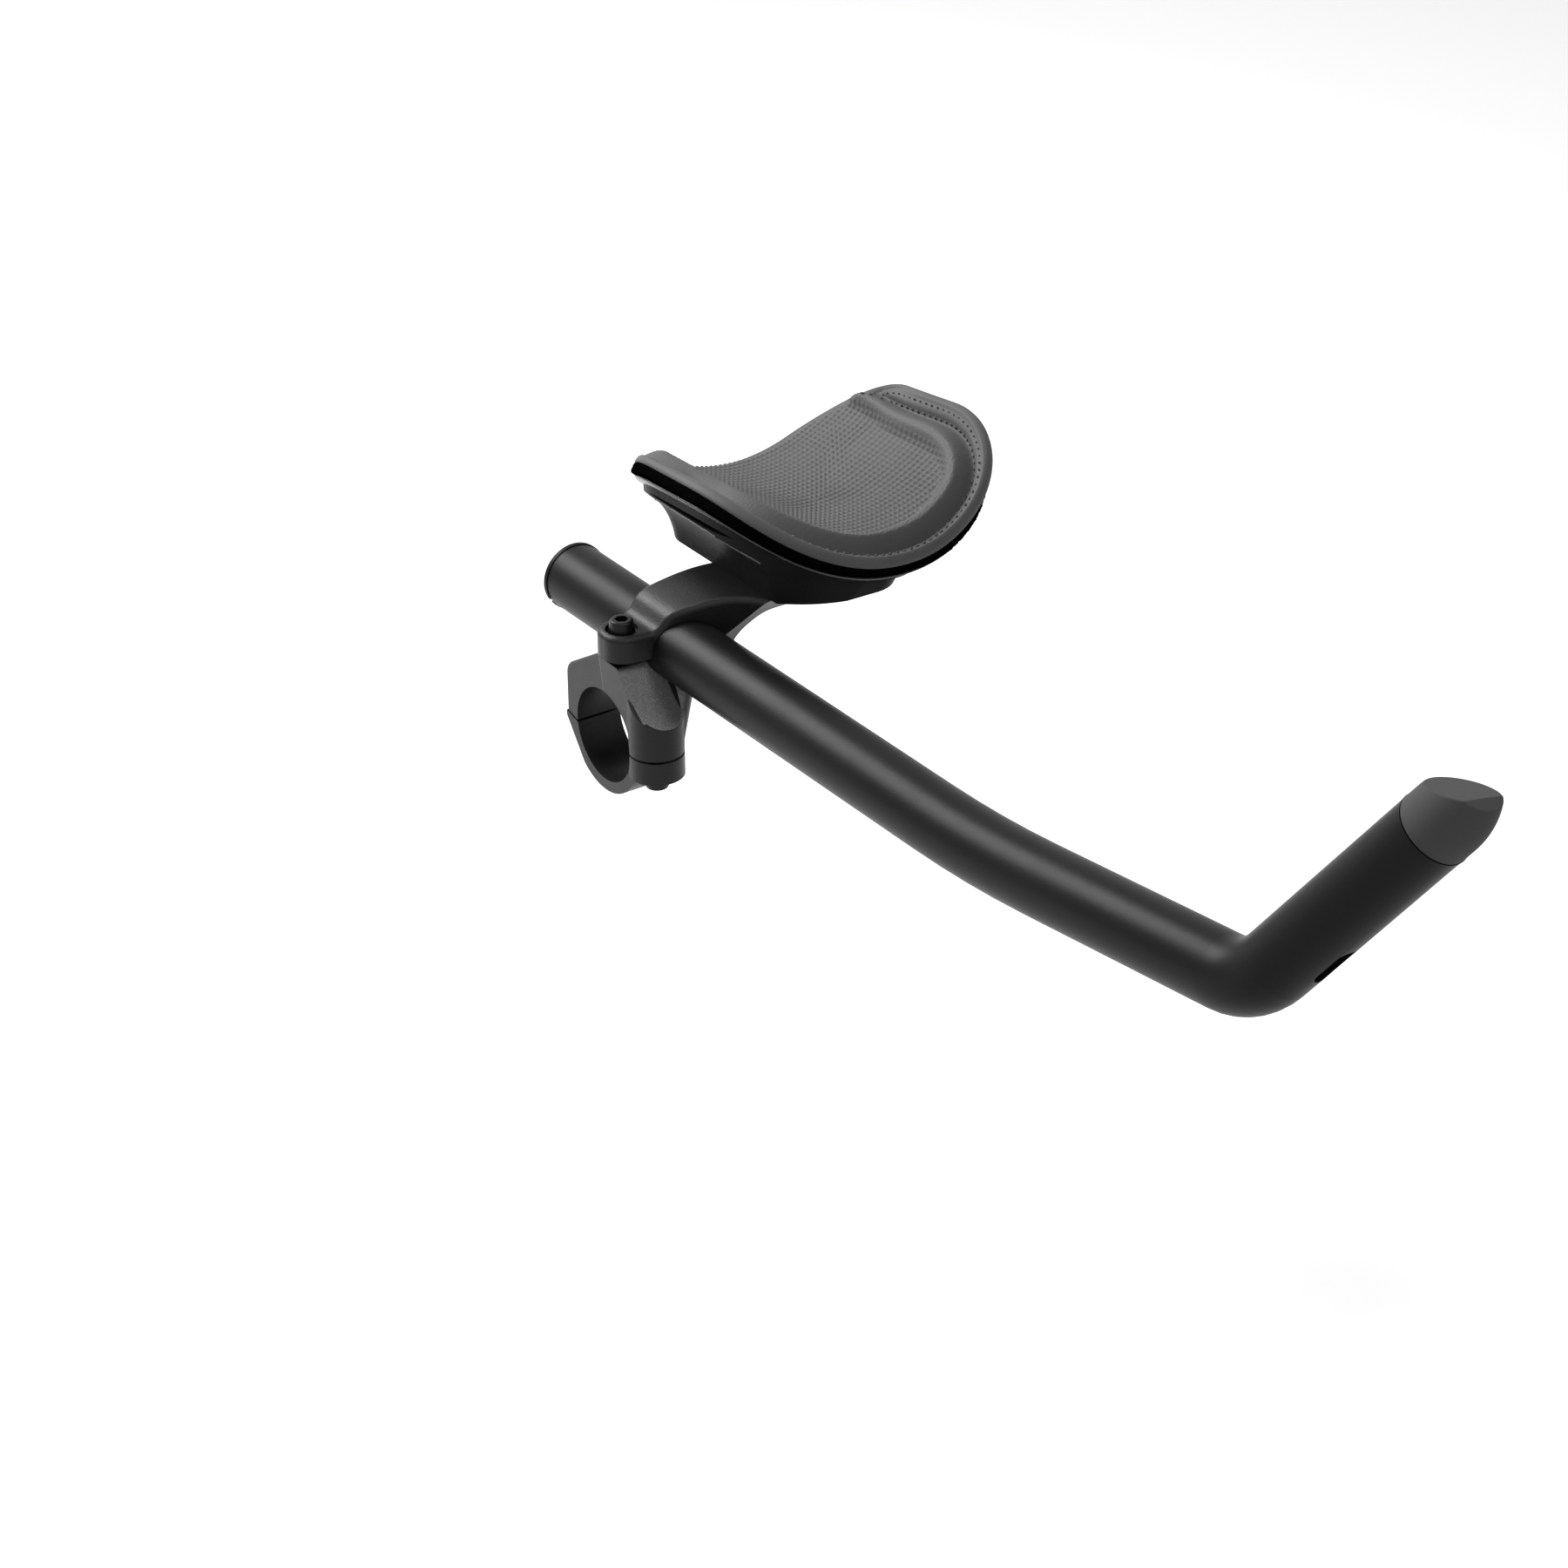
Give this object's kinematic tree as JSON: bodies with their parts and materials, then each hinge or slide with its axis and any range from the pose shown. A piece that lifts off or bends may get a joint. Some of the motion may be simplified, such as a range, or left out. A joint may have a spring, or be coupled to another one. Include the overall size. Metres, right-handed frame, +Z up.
{
  "type": "aero handlebar extension",
  "caption": "Aero handlebar extension with a bent tube and a padded forearm rest on a bolted bar clamp, left side.",
  "frame": {"origin": "centre of the handlebar clamp's bore, midway across its width", "axes": "+X forward along the bicycle, +Y outboard along the handlebar's axis (rider's left), +Z up"},
  "size_m": [0.4041, 0.1364, 0.1409],
  "materials": {
    "tube_black": "hard anodised, satin, black",
    "forged_black": "bead blasted and anodised, matte black",
    "plug_rubber": "matte, finely grained, dark grey",
    "plug_plastic": "smooth, matte, black",
    "bolt_steel": "black oxide",
    "shell_plastic": "lightly grained, black",
    "hook_tape": "moulded hooks, black",
    "felt_backing": "looped fleece, black",
    "pad_skin": "embossed synthetic skin, dark grey"
  },
  "bodies": {
    "root": {"extension_tube": "tube_black", "rear_plug": "plug_plastic", "front_plug": "plug_rubber", "bracket_body": "forged_black", "bar_clamp_cap": "forged_black", "armrest_arm": "forged_black", "bar_clamp_bolt": "bolt_steel", "arm_clamp_bolt": "bolt_steel", "armrest_screws": "bolt_steel", "armrest_shell": "shell_plastic", "hook_patch_front": "hook_tape", "hook_patch_rear": "hook_tape", "hook_patch_inboard": "hook_tape", "hook_patch_outboard": "hook_tape", "pad_backing": "felt_backing", "pad_cushion": "pad_skin"}
  },
  "joints": []
}
